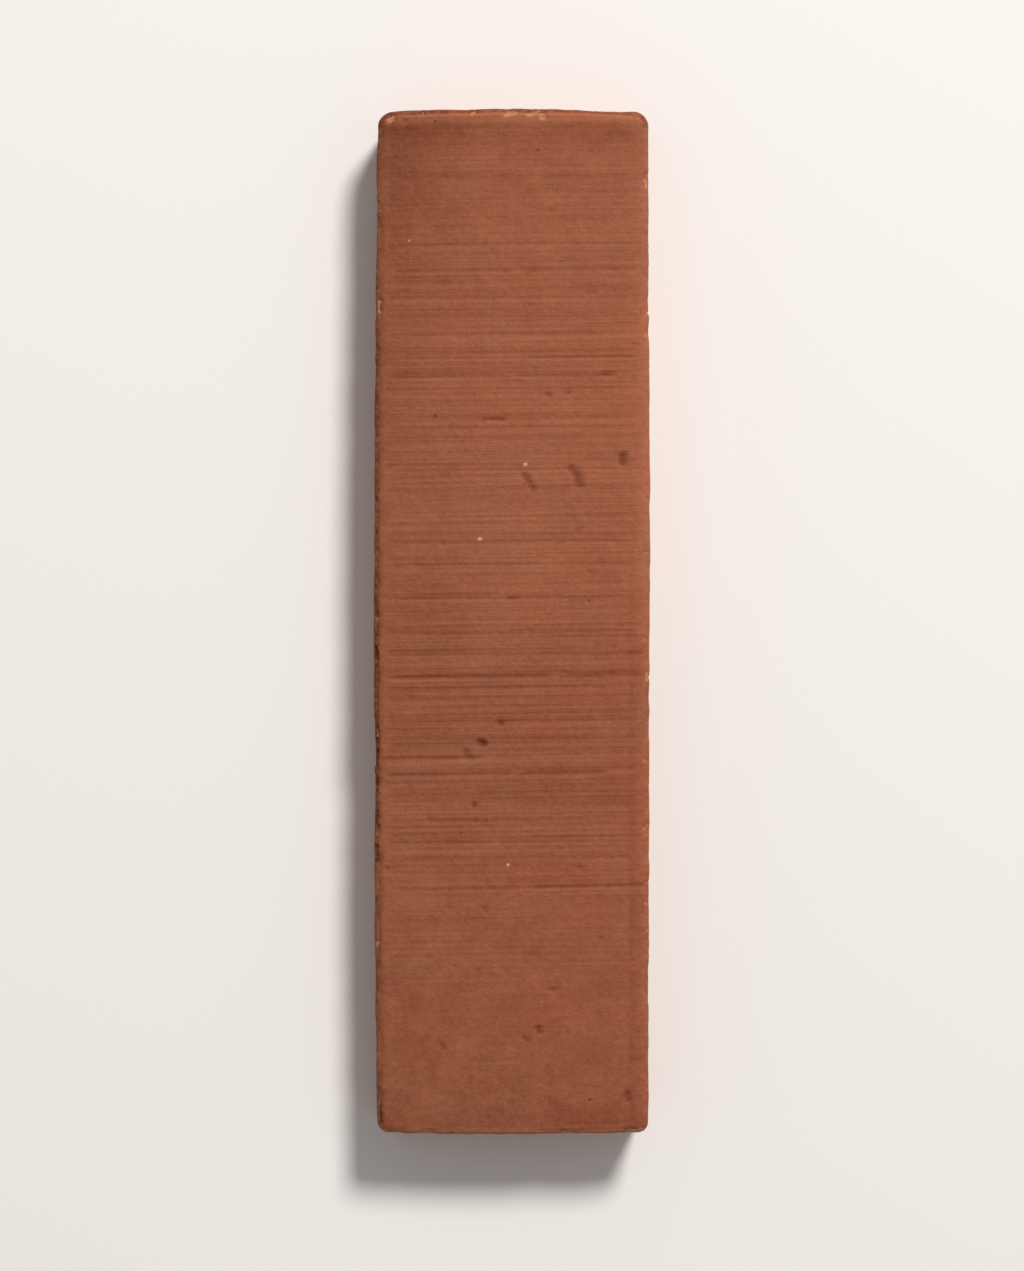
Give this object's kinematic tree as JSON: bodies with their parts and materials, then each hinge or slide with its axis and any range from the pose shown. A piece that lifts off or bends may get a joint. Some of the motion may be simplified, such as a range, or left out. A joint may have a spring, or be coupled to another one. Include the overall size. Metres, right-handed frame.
{
  "type": "ceramic tile",
  "caption": "Slender unglazed terracotta tile with a drag-marked, slightly crowned face, rounded edges and walls that lean in to a flat back for bedding.",
  "frame": {"origin": "middle of the flat back, on the surface that the tile lies on", "axes": "+Y along the length, towards the end with the rounder corners; +X across the width; +Z out of the fair face"},
  "size_m": [0.065, 0.24, 0.018],
  "materials": {
    "terracotta": "unglazed fired clay, matte, with drag lines, pores and flashing"
  },
  "bodies": {
    "root": {"tile": "terracotta"}
  },
  "joints": []
}
